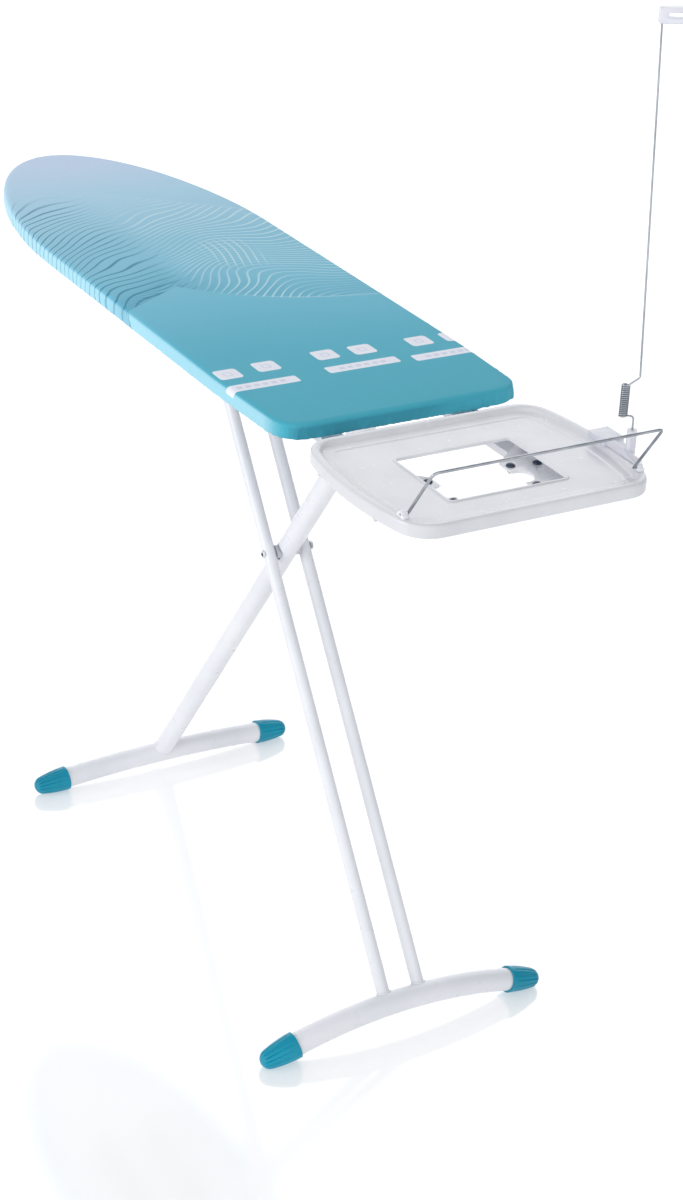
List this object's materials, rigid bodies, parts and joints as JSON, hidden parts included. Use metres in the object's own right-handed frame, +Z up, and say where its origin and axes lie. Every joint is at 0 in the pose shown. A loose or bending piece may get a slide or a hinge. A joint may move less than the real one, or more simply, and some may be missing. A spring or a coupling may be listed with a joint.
{
  "type": "ironing board",
  "caption": "Folding ironing board with a fabric-covered top, crossed tube legs with arched feet, an iron tray with a wire bail and a sprung cable holder.",
  "frame": {"origin": "on the floor, midway between the nose and the furthest point of the bail, on the board's centre line", "axes": "+Z up, +X from the nose to the iron tray, +Y to the side of the cable holder"},
  "size_m": [1.532, 0.474, 1.506],
  "materials": {
    "white_powder_coat": "satin powder coat",
    "white_plastic": "gloss",
    "teal_plastic": "semi-gloss",
    "dark_plastic": "matt",
    "dark_screw": "blackened",
    "bright_steel": "zinc plated",
    "cover_cloth": "printed woven cotton",
    "felt": "soft felt"
  },
  "bodies": {
    "board": {"board_core": "white_powder_coat", "board_pad": "felt", "cover": "cover_cloth", "guide_rail_left": "bright_steel", "guide_rail_right": "bright_steel", "deck_rivets": "bright_steel", "tail_clevis": "white_powder_coat", "clevis_pin": "bright_steel", "lever_bracket": "bright_steel", "lever_pin": "bright_steel", "brake_housing": "dark_plastic", "brake_spring": "bright_steel", "tray_arm_left": "white_powder_coat", "tray_arm_right": "white_powder_coat", "arm_spacers": "bright_steel", "arm_screws": "bright_steel", "tray_bracket_left": "white_powder_coat", "tray_bracket_right": "white_powder_coat", "bracket_screws": "dark_screw", "bracket_nuts": "bright_steel", "tray_shell": "white_plastic", "tray_screws": "bright_steel", "bail_clip_left": "white_plastic", "bail_clip_right": "white_plastic", "cable_socket": "white_plastic", "socket_screw": "bright_steel"},
    "rear_leg": {"main_leg_tube": "white_powder_coat", "main_leg_bush": "dark_plastic", "cross_bush": "dark_plastic", "rear_foot_tube": "white_powder_coat", "rear_cap_left": "teal_plastic", "rear_cap_right": "teal_plastic"},
    "front_leg": {"twin_tube_left": "white_powder_coat", "twin_tube_right": "white_powder_coat", "tube_plugs": "dark_plastic", "front_foot_tube": "white_powder_coat", "front_cap_left": "teal_plastic", "front_cap_right": "teal_plastic", "cross_bolt": "bright_steel", "cross_nut": "bright_steel", "cross_spacers": "dark_plastic", "top_axle": "bright_steel"},
    "slide": {"slide_shoe_left": "dark_plastic", "slide_shoe_right": "dark_plastic", "brake_rod": "bright_steel"},
    "brake": {"brake_plate": "bright_steel"},
    "lever": {"height_lever": "teal_plastic"},
    "pull_rod": {"release_rod": "bright_steel"},
    "bail": {"bail": "bright_steel"},
    "holder_foot": {"holder_foot_wire": "bright_steel", "holder_spring": "bright_steel"},
    "holder_top": {"holder_wire": "bright_steel", "cable_clip": "white_plastic"}
  },
  "joints": [
    {"name": "main_fold", "type": "hinge", "parent": "board", "child": "rear_leg", "pos_m": [0.34434, 0, 0.899], "axis": [0, 1, 0], "range_deg": [-4, 48.94]},
    {"name": "leg_cross", "type": "hinge", "parent": "rear_leg", "child": "front_leg", "pos_m": [0.123, 0, 0.595], "axis": [0, 1, 0], "range_deg": [-98.38, 8.5]},
    {"name": "slide_level", "type": "hinge", "parent": "front_leg", "child": "slide", "pos_m": [-0.09834, 0, 0.899], "axis": [0, 1, 0], "range_deg": [-4.5, 49.44]},
    {"name": "lever_squeeze", "type": "hinge", "parent": "board", "child": "lever", "pos_m": [0.294, 0, 0.899], "axis": [0, 1, 0], "range_deg": [-12, 0], "stiffness_Nm_per_rad": 0.8, "springref_deg": 17.19},
    {"name": "rod_pull", "type": "slide", "parent": "board", "child": "pull_rod", "axis": [1, 0, 0], "range_m": [-0.0005, 0.0035]},
    {"name": "brake_tilt", "type": "hinge", "parent": "board", "child": "brake", "pos_m": [-0.02085, 0, 0.922], "axis": [0, 1, 0], "range_deg": [-6, 0.5], "deforming": ["brake_spring"]},
    {"name": "bail_fold", "type": "hinge", "parent": "board", "child": "bail", "pos_m": [0.7135, 0, 0.941], "axis": [0, 1, 0], "range_deg": [-125, 0]},
    {"name": "holder_swivel", "type": "hinge", "parent": "board", "child": "holder_foot", "pos_m": [0.67, 0.19, 0.971], "axis": [0, 0, 1], "range_deg": [-90, 90]},
    {"name": "holder_flex", "type": "hinge", "parent": "holder_foot", "child": "holder_top", "pos_m": [0.66408, 0.17731, 1.011], "axis": [0, 1, 0], "range_deg": [-35, 35], "stiffness_Nm_per_rad": 1.2, "deforming": ["holder_spring"]}
  ],
  "couplings": [
    {"joint": "leg_cross", "follows": "main_fold", "ratio": -2},
    {"joint": "slide_level", "follows": "main_fold", "ratio": 1},
    {"joint": "rod_pull", "follows": "lever_squeeze", "m_per_rad": -0.014},
    {"joint": "brake_tilt", "follows": "lever_squeeze", "ratio": 0.3784}
  ]
}
